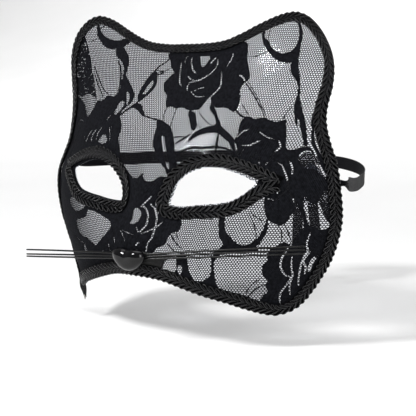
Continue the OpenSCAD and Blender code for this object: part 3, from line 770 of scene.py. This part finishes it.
# open lines cut through the dense cloth: width, then points
SLIT = [
    (0.9, [(-0.5, 77), (0.4, 73), (2, 69), (3.5, 65.5), (6, 63)]),
    (0.7, [(2.6, 80), (1.6, 78), (2.4, 76)]),
    (0.9, [(6, 79.5), (6.4, 76.5), (8, 74.3), (10, 72), (12.6, 70.4)]),
    (0.9, [(23, 79.5), (21.2, 77.6), (20.2, 75.6)]),
    (1, [(24.2, 79), (25.2, 75.5), (24, 72.4), (21.5, 69.5), (18, 67.2), (14.5, 66), (11, 65.4),
           (10.2, 63), (11.2, 60.8)]),
    (0.5, [(8, 68.6), (10.5, 67), (13.5, 66.6)]),
    (0.5, [(15, 60), (18.5, 61.8), (22.4, 62.8)]),
    (0.4, [(24.4, 58), (19.5, 57.4), (15.8, 59), (14, 60.4)]),
    (0.9, [(33.5, 82), (33.5, 79), (32, 74.6)]),
    (1, [(29.2, 71.8), (31, 68), (32, 64), (31, 60.6), (28.2, 58), (27, 55.5)]),
    (0.9, [(41.8, 69.6), (44.4, 68.5), (46.4, 66.2)]),
    (0.8, [(51, 36.6), (53, 39.4), (56.6, 40.8)]),
    (0.5, [(62, 39.4), (66, 36.8), (70, 35.5)]),
    (0.8, [(54, 32), (58, 32.2), (60.5, 33.5), (63.2, 35)]),
    (0.8, [(72, 35), (73.2, 31.6), (71, 28.4), (69.4, 26.6)]),
    (1, [(50.4, 33.4), (52.4, 29), (54, 26.2)]),
    (1, [(55.6, 30.4), (55, 26.6)]),
    (0.9, [(63, 28.2), (60.3, 25.4)]),
    (0.9, [(64, 27.2), (65.2, 22.5)]),
    (0.9, [(70.6, 26.6), (68.4, 22)]),
    (0.8, [(75, 28.6), (78, 25), (80.4, 21), (81.4, 16)]),
    (0.8, [(71, 24.6), (75, 22.6), (77, 19.6), (79, 16), (80.6, 12), (80.4, 9), (78, 6), (76.3, 3.8),
           (72.6, 4.4)]),
    (0.6, [(75.4, 8.6), (76.8, 7.2)]),
    (0.8, [(81, 9), (83, 6), (84.5, 3), (85.2, -1)]),
    (1.1, [(79.5, 46.6), (80.8, 40), (82.8, 34.4)]),
    (0.9, [(87.4, 40), (88.6, 33.5), (91.4, 27.6), (93.2, 22.6)]),
    (0.9, [(83, -20.5), (80, -25), (78, -29), (77, -34), (78.4, -38.4), (80, -40), (77.5, -44),
           (75, -48), (73.8, -51.5), (73.4, -55)]),
    (0.7, [(82.6, -27), (81.3, -33), (81, -38), (79.9, -41), (78.6, -45), (78, -50)]),
    (0.8, [(91.6, -13), (90, -17), (89, -21), (89, -24), (87.3, -27.3), (85.4, -31.5), (84, -36),
           (82.6, -41), (82, -45)]),
    (0.9, [(91, -23.4), (88, -27.2), (86.2, -30.4), (86.6, -33.5), (85.4, -38)]),
    (1.4, [(92.6, -27), (90, -29.8), (88.2, -33.6), (87.2, -36.8)]),
    (1, [(1.4, -3), (4, -3.2), (6.4, -6.5), (7.3, -11), (6, -14.6), (3, -17), (1.6, -14.4)]),
    (0.9, [(2, -2.6), (4.4, -0.6), (6.6, 2.6)]),
    (1, [(7, -1.6), (10, -5), (12, -10), (12, -16), (11, -20), (9, -23.6), (8.5, -28)]),
    (0.6, [(5, -17.6), (9, -16), (13, -13.6), (15.6, -11)]),
    (1, [(-12, -17.6), (-9, -20), (-6.4, -23.2)]),
    (0.4, [(-11, -17.4), (-5, -18), (0, -18.6)]),
    (1, [(1.8, -24.6), (4.6, -22.4)]),
    (0.9, [(-17.6, -21), (-16.4, -25.2)]),
    (0.8, [(-22, -26), (-21.6, -29), (-19.6, -32)]),
    (1, [(-28.2, -33.2), (-27, -31)]),
    (0.9, [(-60, -27), (-52, -29), (-46, -30.4)]),
    (1.4, [(-60.6, 28), (-59, 32), (-56, 35.6)]),
    (1.4, [(-53.6, 29), (-54, 33), (-51.5, 36.6)]),
    (1.2, [(-48.5, 30.4), (-48.6, 35), (-46, 38.6)]),
    (0.8, [(-39, 38.4), (-36.2, 34.4), (-35, 31)]),
    (0.6, [(-37.6, 40), (-35.4, 36)]),
    (0.8, [(-44, 42), (-41.4, 45.2)]),
    (0.9, [(-65, 32), (-62, 29.6)]),
    (0.9, [(-83, -20.5), (-80, -25), (-78, -29), (-77, -34), (-78.4, -38.4), (-80, -40), (-77.5, -44),
           (-75, -48), (-73.8, -51.5)]),
    (0.8, [(-91.6, -15), (-89, -21), (-87.3, -27.3), (-85.4, -31.5), (-84, -36), (-82, -45)]),
    (1.3, [(-92.6, -27), (-90, -29.8), (-88.2, -33.6), (-87.2, -36.8)]),
    (0.8, [(-74, 34), (-78, 28), (-80.4, 21), (-81.4, 14), (-79, 7), (-75, 3)]),
    (0.7, [(-70, 40), (-76, 41), (-82, 38)]),
]
# thin drawn lines of dense cloth over the net: width, then points
VEIN = [
    (1.3, [(40, 38.6), (40.6, 33), (41.4, 27)]),
    (1.3, [(17.5, 25), (22, 28.4), (27, 30), (33, 30), (39, 31), (45, 30.6), (51, 28.6)]),
    (1.0, [(15, 31.5), (19.5, 34.4), (24, 37.6)]),
    (0.5, [(13, 35), (16.5, 35.6), (20.5, 35.4)]),
    (0.6, [(24, 49.4), (28, 46), (33, 43), (37, 41.4)]),
    (0.5, [(20, 48), (25, 43), (30.5, 40)]),
    (0.5, [(8.5, 51), (8.3, 45), (9, 40)]),
    (0.6, [(1.5, 51), (1.2, 47), (3, 43.6)]),
    (0.7, [(46, 66.4), (50, 63), (55, 58), (60, 52), (63.2, 47)]),
    (0.5, [(48.4, 66.2), (53, 61.6), (58, 56), (61.6, 51), (64, 47)]),
    (0.5, [(43, 80), (48, 80), (52, 81.4), (55.4, 83)]),
    (1.1, [(46, 51), (50, 47.8), (53, 47)]),
    (0.55, [(48.6, 54.4), (52, 50.6), (54.8, 47.6)]),
    (0.6, [(76, 53.4), (73.4, 49.4), (72, 45.6)]),
    (0.4, [(54.4, 88.6), (54.2, 92.5), (55, 98.5)]),
    (0.5, [(64.4, -3.5), (66.6, -8), (68, -13), (68.4, -18.4)]),
    (0.5, [(65, -2.5), (68.5, -6), (73, -8)]),
    (0.6, [(77.6, -9.4), (79.4, -13), (79, -19)]),
    (0.6, [(80.4, -8.4), (82, -13), (83.2, -19)]),
    (0.7, [(22, -16.6), (25, -20.6), (29.4, -24.4)]),
    (0.5, [(25.4, -15.6), (26.2, -18), (28, -20)]),
    (0.6, [(20, -21.6), (23, -24.4), (26, -27)]),
    (0.5, [(60.4, -48.4), (63.4, -43.6), (67, -40.5)]),
    (0.5, [(61, -50.6), (65.4, -45.6), (68.6, -43.6)]),
    (1.1, [(-51.4, 77.6), (-47, 73), (-44, 68), (-42.4, 63), (-41.5, 59)]),
    (0.7, [(-72, 74), (-67, 69), (-62, 64.6), (-56, 60), (-49.5, 57)]),
    (0.6, [(-69, 68.6), (-64, 63.4), (-58, 58.6), (-53.6, 55)]),
    (0.5, [(-80.6, 89), (-77, 89.2), (-73, 90.6)]),
    (0.6, [(-71.4, 96.6), (-67, 98.8), (-62, 99.4)]),
    (1.2, [(-35, 43.6), (-30, 48), (-25, 51), (-21, 54.4)]),
    (0.8, [(-14, 46.4), (-8, 45), (-3, 44.2), (3, 43.2)]),
    (0.6, [(-18, 71), (-16, 74), (-12, 76.6), (-10, 79)]),
    (0.6, [(-16.4, 72), (-12, 71), (-7, 73)]),
    (0.8, [(-18.4, 70.6), (-14, 69.4), (-10.5, 70.5)]),
]

# spacing of the rough places along a cloth edge, and how far they stray
RAG_GAP = 0.65
RAG_REACH = 0.13
EAR_SPECKS = 460
# the net's cells: width, height, and radius of a strand
NET_PITCH = 1.35
NET_RISE = 1.1
NET_R = 0.315
# a strand is flatter than it is wide, and runs a little past its knots
NET_FLAT = 0.75
NET_PAST = 0.05
NET_UNEVEN = 0.07


def stroke(width, points):
    """The outline of a line of that width, tapered to its ends."""
    line = open_curve(points, 3)
    along = unit(np.gradient(line, axis=0))
    out = np.stack([-along[:, 1], along[:, 0]], 1)
    t = np.linspace(0, 1, len(line))
    half = width / 2 * (0.45 + 0.55 * np.sin(np.pi * t) ** 0.5)[:, None]
    return np.vstack([line + out * half, (line - out * half)[::-1]])


def ragged(loop):
    """A loop with its edge roughened, as threads leave it."""
    ring = np.vstack([loop, loop[:1]])
    gone = distances(ring)
    s = np.arange(0, gone[-1] - RAG_GAP / 2, RAG_GAP)
    points = np.stack([np.interp(s, gone, ring[:, 0]), np.interp(s, gone, ring[:, 1])], 1)
    return points + rng.normal(0, RAG_REACH, points.shape)


def speck_loops(outline, count):
    """Small ragged holes scattered through a closed shape."""
    places = rng.uniform(outline.min(0), outline.max(0), (count, 2))
    turn = np.arange(6) * math.pi / 3
    found = []
    for x, z in places[inside(outline, places[:, 0], places[:, 1])]:
        reach = rng.uniform(0.2, 0.6) * rng.uniform(0.6, 1.3, 6)
        found.append(np.stack([x + reach * np.cos(turn), z + reach * np.sin(turn) * 1.4], 1))
    return found


solid_loops = [ragged(closed_curve(p, 3)) for p in SOLID]
window_loops = [closed_curve(p, 3) for p in WINDOW] + [stroke(w, p) for w, p in SLIT]
window_loops += speck_loops(closed_curve(EAR_BAND, 3), EAR_SPECKS)
vein_loops = [stroke(w, p) for w, p in VEIN]


def in_motif(x, z):
    found = in_any(solid_loops, x, z) & ~in_any(window_loops, x, z)
    return (found | in_any(vein_loops, x, z)) & in_mask(x, z)


def stretched(points):
    """Slow waves through the net, as it was pulled over the shell."""
    x, z = points.T
    return np.stack([x + 0.12 * z + 0.7 * np.sin(z / 19 + x / 31),
                     z + 0.9 * np.sin(x / 23) + 0.3 * np.sin(z / 9)], 1)


def wobble(points):
    """A small unevenness, the same for every strand that meets at a knot."""
    x, z = points.T
    return np.stack([np.sin(x * 7.1 + z * 3.7), np.sin(x * 4.3 - z * 8.9)], 1)


def net_shows(a, b):
    """Which strands lie on the mask and not wholly within dense cloth."""
    covered = in_motif(*a.T) & in_motif(*b.T) & in_motif(*((a + b) / 2).T)
    return in_mask(*a.T) & in_mask(*b.T) & ~covered


def make_net(pitch, rise, radius):
    """Hexagonal net strands as three-sided rods lying on the face."""
    # enough columns and rows to reach past the outline on every side
    u, v = np.meshgrid(np.arange(-int(106 / pitch), int(106 / pitch) + 1),
                       np.arange(-int(74 / rise), int(117 / rise)))
    cells = np.stack([(u + 0.5 * (v % 2)) * pitch, v * rise], -1).reshape(-1, 2)
    low = cells - [0, rise / 3]
    high = cells + [0, rise / 3]
    starts = np.concatenate([low, high, high])
    ends = np.concatenate([high, high + [pitch / 2, rise / 3], high + [-pitch / 2, rise / 3]])
    a, b = (stretched(p) + NET_UNEVEN * wobble(p) for p in (starts, ends))
    shown = net_shows(a, b)
    a, b = a[shown], b[shown]
    pa, pb = (on_face(*p.T, (LACE_BACK + LACE_FRONT) / 2) for p in (a, b))
    along = unit(pb - pa)
    across = np.cross(along, face_normal(*a.T))
    over = np.cross(across, along)
    rings = []
    for k in range(3):
        turn = 2 * math.pi * k / 3 + math.pi / 2
        out = (across * math.cos(turn) + over * math.sin(turn) * NET_FLAT) * radius * MM
        rings += [pa - along * NET_PAST * MM + out, pb + along * NET_PAST * MM + out]
    base = (np.arange(len(pa)) * 6)[:, None, None]
    quads = np.array([[0, 1, 3, 2], [2, 3, 5, 4], [4, 5, 1, 0]])
    return np.stack(rings, 1).reshape(-1, 3), (base + quads).reshape(-1, 4)


lace_loops = [cut_loop] + eye_loops + solid_loops + window_loops + vein_loops
motif_verts, motif_faces = cut_sheet(in_motif, lace_loops, step=3.2, low=LACE_BACK,
                                     high=LACE_FRONT, rounded=0.08)
net_verts, net_faces = make_net(NET_PITCH, NET_RISE, NET_R)
lace = add_mesh("lace", np.vstack([motif_verts, net_verts]),
                motif_faces + (net_faces + len(motif_verts)).tolist(), None,
                [motif_material, net_material],
                [0] * len(motif_faces) + [1] * len(net_faces), False)
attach(lace, "root")
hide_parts("lace_cover")

# ---------------------------------------------------------------- scroll braid
# one loop of the cord: along the braid, across it, height above the shell
SCROLL = [(0, -0.45, 1.25), (1.6, 0.55, 2), (3.3, 1.6, 2.15), (4.6, 2.65, 2), (5.6, 3.42, 1.75),
          (6.7, 3.35, 1.6), (6.9, 2.6, 1.6), (6, 1.75, 1.65), (4.6, 0.85, 1.5)]
SCROLL_PITCH = 3.6
CORD_R = 0.4
CORD_SIDES = 6
CORD_JITTER = 0.05
# section of the flat tape under the cord: across the braid, height above the shell
TAPE = [(-3.45, 0.5), (3.45, 0.5), (3.5, 1.25), (2.6, 0.9), (0, 1), (-2.6, 0.9), (-3.5, 1.25)]
TAPE_STEP = 2.5
# share of the width that rolls out of sight at the top, and where that starts and ends
ROLL_SHARE = 0.28
ROLL_LOW = 50
ROLL_HIGH = 80


def braid_share(z):
    """Share of its full width that the braid shows at a height: it rolls over the thin top edge."""
    return 1 - ROLL_SHARE * np.clip((z - ROLL_LOW) / (ROLL_HIGH - ROLL_LOW), 0, 1)


def track(loop, closed, e=0.3):
    """Finds places beside a curve on the face, from distance along, distance across and height.
    Hands back that function, and how far along each point of the curve is."""
    if closed:
        loop = np.vstack([loop, loop[:1]])
        along = np.vstack([loop[1:], loop[1:2]]) - np.vstack([loop[-2:-1], loop[:-1]])
    else:
        along = np.gradient(loop, axis=0)
    along = unit(along)
    out = np.stack([along[:, 1], -along[:, 0]], 1)
    place = on_face(*loop.T, 1)
    gone = distances(place) / MM
    stretch = np.linalg.norm(on_face(*(loop + out * e).T, 1) - place, axis=1) / (e * MM)
    columns = (*loop.T, *out.T, braid_share(loop[:, 1]) / stretch)

    def spot(s, t, h):
        s = s % gone[-1] if closed else np.clip(s, 0, gone[-1])
        x, z, out_x, out_z, scale = (np.interp(s, gone, column) for column in columns)
        x = x + out_x * (t * scale)
        z = z + out_z * (t * scale)
        return on_face(x, z, h), face_normal(x, z)

    return spot, gone


def inner_line(loop, d):
    """The closed loop moved inwards by d as measured on the face."""
    spot, gone = track(loop, True)
    return spot(gone[:-1], d, 1)[0][:, [0, 2]] / MM


def braid_parts(loop, closed):
    """The cord laid in scrolls, and a flat tape under it that keeps light out of its gaps."""
    spot, gone = track(loop, closed)
    total = gone[-1]
    count = round(total / SCROLL_PITCH)
    parts = []
    for turn in range(-1, count + 1) if closed else range(count - 1):
        for sign, shift in ((1, 0), (-1, 0.5)):
            part = np.array(SCROLL)
            part[:, 0] = (part[:, 0] / SCROLL_PITCH + turn + shift) * (total / count)
            part[:, 1] *= sign
            parts.append(part)
    line = open_curve(np.vstack(parts), 2)
    if closed:
        per_turn = 4 * len(SCROLL)
        line = line[per_turn:per_turn * (count + 1)]
    jitter = rng.normal(0, CORD_JITTER, (len(line), 2))
    jitter = (jitter + np.roll(jitter, 1, 0) + np.roll(jitter, -1, 0)) / 2
    path, normals = spot(line[:, 0], line[:, 1] + jitter[:, 0], line[:, 2] + jitter[:, 1])
    s = np.linspace(0, total, int(total / TAPE_STEP), endpoint=not closed)
    ring = np.stack([spot(s, t, h)[0] for t, h in TAPE], 1)
    n, m = ring.shape[:2]
    faces = grid_faces(n, m, closed, flipped=True)
    if not closed:
        faces += [list(range(m)), [(n - 1) * m + q for q in range(m)][::-1]]
    tape = (ring.reshape(-1, 3), faces, np.zeros((sum(len(f) for f in faces), 2)))
    return tube(path, normals, CORD_R * MM, CORD_SIDES, closed), tape


def add_braid(name, loop, closed, extra=()):
    cord, tape = braid_parts(loop, closed)
    verts, faces, uv = join_parts([cord, tape, *extra])
    index = np.zeros(len(faces), np.int32)
    index[len(cord[1]):len(cord[1]) + len(tape[1])] = 1
    piece = add_mesh(name + "_cord", verts, faces, uv, [braid_material, tape_material], index)
    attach(piece, "root")
    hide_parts(name)


# where the braid's end hangs below the right cheek
fray_root = on_face([-68], [-58.5], 1.6)[0] / MM
FRAY_COUNT = 13


def frayed_strands():
    """Loose strands spread out from the braid's end."""
    parts = []
    for k in range(FRAY_COUNT):
        spread = 2 * k / (FRAY_COUNT - 1) - 1
        bend = rng.normal(0, 0.5, 3)
        tip = np.array([-65.4 + spread * 0.9 + bend[0] * 0.4, fray_root[1] - 1.4 + bend[1] * 0.5,
                        -69.6 + abs(spread) * 3])
        mid = (fray_root + tip) / 2 + [spread * 1.6 + bend[2] * 0.4, -0.4, 0.6]
        line = open_curve([fray_root + [spread * 1.5, 0, 1.2], mid, tip], 6) * MM
        radius = np.linspace(0.55, 0.16, len(line)) * MM
        parts.append(tube(line, FORWARD, radius, CORD_SIDES, False))
    return parts


add_braid("edge_braid", inner_line(edge_loop, BRAID_W / 2 + 0.1), True, frayed_strands())
for side_name, points in (("left", EYE_TRIM), ("right", mirrored(EYE_TRIM))):
    add_braid("eye_braid_" + side_name, open_curve(points, 5), False)

# one pale curl of thread in the frayed end
CURL = [(-65.6, 0.4, -66.5), (-64.6, -0.2, -68.2), (-65.4, -0.6, -69.8), (-66.6, -0.2, -69.6),
        (-66.4, 0.2, -68.5)]
curl_line = open_curve([(x, fray_root[1] - 2.4 + y, z) for x, y, z in CURL], 5) * MM
verts, faces, uv = tube(curl_line, FORWARD, 0.13 * MM, CORD_SIDES, False)
curl = add_mesh("pale_thread", verts, faces, uv, [thread_material])
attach(curl, "root")

# ---------------------------------------------------------------- nose
NOSE_EDGE = [(-11.2, 2.6), (-9.4, 5.5), (-4.7, 6.4), (0, 5.9), (4.7, 6.4), (9.4, 5.5), (11.2, 2.6),
             (10.1, -0.8), (6.4, -4.3), (2.8, -6.1), (0, -6.5), (-2.8, -6.1), (-6.4, -4.3),
             (-10.1, -0.8)]
NOSE_Z = -32
NOSE_RINGS = 20
NOSE_HIGH = 5.5
# the flat back stands this far in front of the braid
NOSE_GAP = 0.35
# the lobes rise this much, and the dome is lowered by as much
NOSE_LOBE = 0.35
NOSE_GROOVE = 0.6


def make_nose():
    """A polished dome over a rounded triangle, a little parted at the top, flat at the back."""
    outline = closed_curve(NOSE_EDGE, 6)
    back_y = float(face_y(np.array([0.0]), np.array([-34.0]))[0]) - BRAID_FRONT - NOSE_GAP
    centre = np.array([0, 0.3])
    verts = []
    for r in range(NOSE_RINGS):
        t = (r / (NOSE_RINGS - 1)) * math.pi / 2
        reach = math.cos(t) ** 0.62 if r < NOSE_RINGS - 1 else 0
        lift = math.sin(t) ** 0.85
        for x, z in centre + (outline - centre) * reach:
            groove = NOSE_GROOVE * math.exp(-(x / 2.2) ** 2) * math.exp(-((z - 6) / 3) ** 2)
            lobes = NOSE_LOBE * math.exp(-((abs(x) - 5.4) / 3.4) ** 2 - ((z - 2.2) / 3) ** 2)
            high = max(NOSE_HIGH * lift - groove * lift + lobes * lift - NOSE_LOBE, 0)
            verts.append((x, back_y - high, NOSE_Z + z))
    n = len(outline)
    faces = grid_faces(NOSE_RINGS, n) + [list(range(n))[::-1]]
    piece = add_mesh("nose_dome", np.array(verts) * MM, faces, None, [nose_material])
    soft = piece.modifiers.new("soft", "SUBSURF")
    soft.levels = 1
    soft.render_levels = 1
    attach(piece, "root")
    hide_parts("nose")


make_nose()

# ---------------------------------------------------------------- whiskers and their strip
# heights of the three roots and tips, then the depth of the tips, for the left (1) and right (-1)
ROOT_Z = (-29.3, -30.6, -31.9)
TIP_Z = {1: (-18.5, -20.3, -22.3), -1: (-39.2, -42, -43.4)}
TIP_Y = {1: 11, -1: 3}
TIP_X = 98
# how far out and how deep each whisker starts, and bends beside the nose
START_X = 1.5
START_Y = -13.4
BEND_X = 9
BEND_Y = -13.2
BEND_SHARE = 0.06
# the top one arches up by this much, the middle one less, and the bottom one sags a little
WHISKER_BOW = 0.25
BOW_LOSS = 0.7
BOW_STEPS = 8
WHISKER_SIDES = 12
for side_name, sign in (("left", 1), ("right", -1)):
    for k, (start_z, tip_z) in enumerate(zip(ROOT_Z, TIP_Z[sign])):
        start = np.array([sign * START_X, START_Y, start_z])
        bend = np.array([sign * BEND_X, BEND_Y, start_z + (tip_z - start_z) * BEND_SHARE])
        tip = np.array([sign * TIP_X, TIP_Y[sign], tip_z])
        bow = []
        for q in range(BOW_STEPS + 1):
            rise = WHISKER_BOW * math.sin(math.pi * q / BOW_STEPS) * (1 - k * BOW_LOSS)
            bow.append(bend + (tip - bend) * q / BOW_STEPS + [0, 0, rise])
        line = open_curve([start] + bow, 5) * MM
        radius = np.linspace(0.6, 0.5, len(line)) * MM
        verts, faces, uv = tube(line, FORWARD, radius, WHISKER_SIDES, False)
        whisker = add_mesh(f"bristle_{side_name}_{k + 1}", verts, faces, uv, [whisker_material])
        whisker.data.polygons[len(faces) - 1].use_smooth = False
        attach(whisker, "root")
        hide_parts(f"whisker_{side_name}_{k + 1}")

base_loop = closed_curve(BASE, 6)
verts, faces = cut_sheet(lambda x, z: inside(base_loop, x, z), [base_loop], step=1.2,
                         low=BRAID_BACK, high=1.3, rounded=0.5)
strip = add_mesh("whisker_strip", verts, faces, None, [film_material])
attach(strip, "root")
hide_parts("whisker_base")

# ---------------------------------------------------------------- patches that hold the ribbons
for side_name, points in (("left", PATCH), ("right", mirrored(PATCH))):
    loop = closed_curve(points, 6)
    # it lies behind the shell, so it is built downwards and its faces are turned over
    verts, faces = cut_sheet(lambda x, z: inside(loop, x, z), [loop], step=1.1,
                             low=-0.62, high=-1.15, rounded=-0.2)
    # the cloth is a little wavy, in metres
    verts[:, 1] += 0.00012 * np.sin(verts[:, 0] * 1800 + verts[:, 2] * 700)
    patch = add_mesh("patch_" + side_name, verts, [f[::-1] for f in faces], None, [felt_material])
    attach(patch, "root")
    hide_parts("tie_patch_" + side_name)

# ---------------------------------------------------------------- floor, backdrop and light
# the floor and the backdrop it sweeps up into: depth and height, in metres
SWEEP = [(-4, 0), (1.2, 0), (2.2, 0.05), (3.0, 0.4), (3.4, 1.1), (3.5, 2.2), (3.5, 4)]
FLOOR_Z = -0.078
FLOOR_HALF = 6
floor_material, nodes, links, bsdf = new_material("floor", {"Roughness": 0.9})
add_colour(nodes, links, bsdf, (0.86, 0.86, 0.86), (0.9, 0.9, 0.9), mapped(nodes, links), 3, 2)
sweep = open_curve(SWEEP, 6)
floor_verts = [(x, y, z + FLOOR_Z) for y, z in sweep for x in (-FLOOR_HALF, FLOOR_HALF)]
floor_faces = [(2 * k, 2 * k + 1, 2 * k + 3, 2 * k + 2) for k in range(len(sweep) - 1)]
floor = add_mesh("floor", floor_verts, floor_faces, None, [floor_material])

world = bpy.data.worlds.new("world")
bpy.context.scene.world = world
world.use_nodes = True
background = world.node_tree.nodes["Background"]
background.inputs["Color"].default_value = (1, 1, 1, 1)
background.inputs["Strength"].default_value = 0.25


def soft_light(name, place, target, size, power):
    data = bpy.data.lights.new(name, "AREA")
    data.shape = "RECTANGLE"
    data.size, data.size_y = size
    data.energy = power
    lamp = bpy.data.objects.new(name, data)
    lamp.location = place
    away = Vector(place) - Vector(target)
    lamp.rotation_euler = away.to_track_quat("Z", "Y").to_euler()
    bpy.context.scene.collection.objects.link(lamp)


soft_light("key", (-0.35, -0.75, 0.75), (0, 0, 0.02), (0.22, 0.22), 12)
soft_light("side", (1.0, -0.5, 0.35), (0, 0, 0.02), (0.5, 0.7), 7)
soft_light("top", (0, 1.2, 2.6), (-0.5, 1.4, 0), (4, 2.5), 44)
soft_light("backdrop", (-1.2, 1.3, 2.2), (-2.6, 3.5, 0.7), (3.2, 1.6), 62)
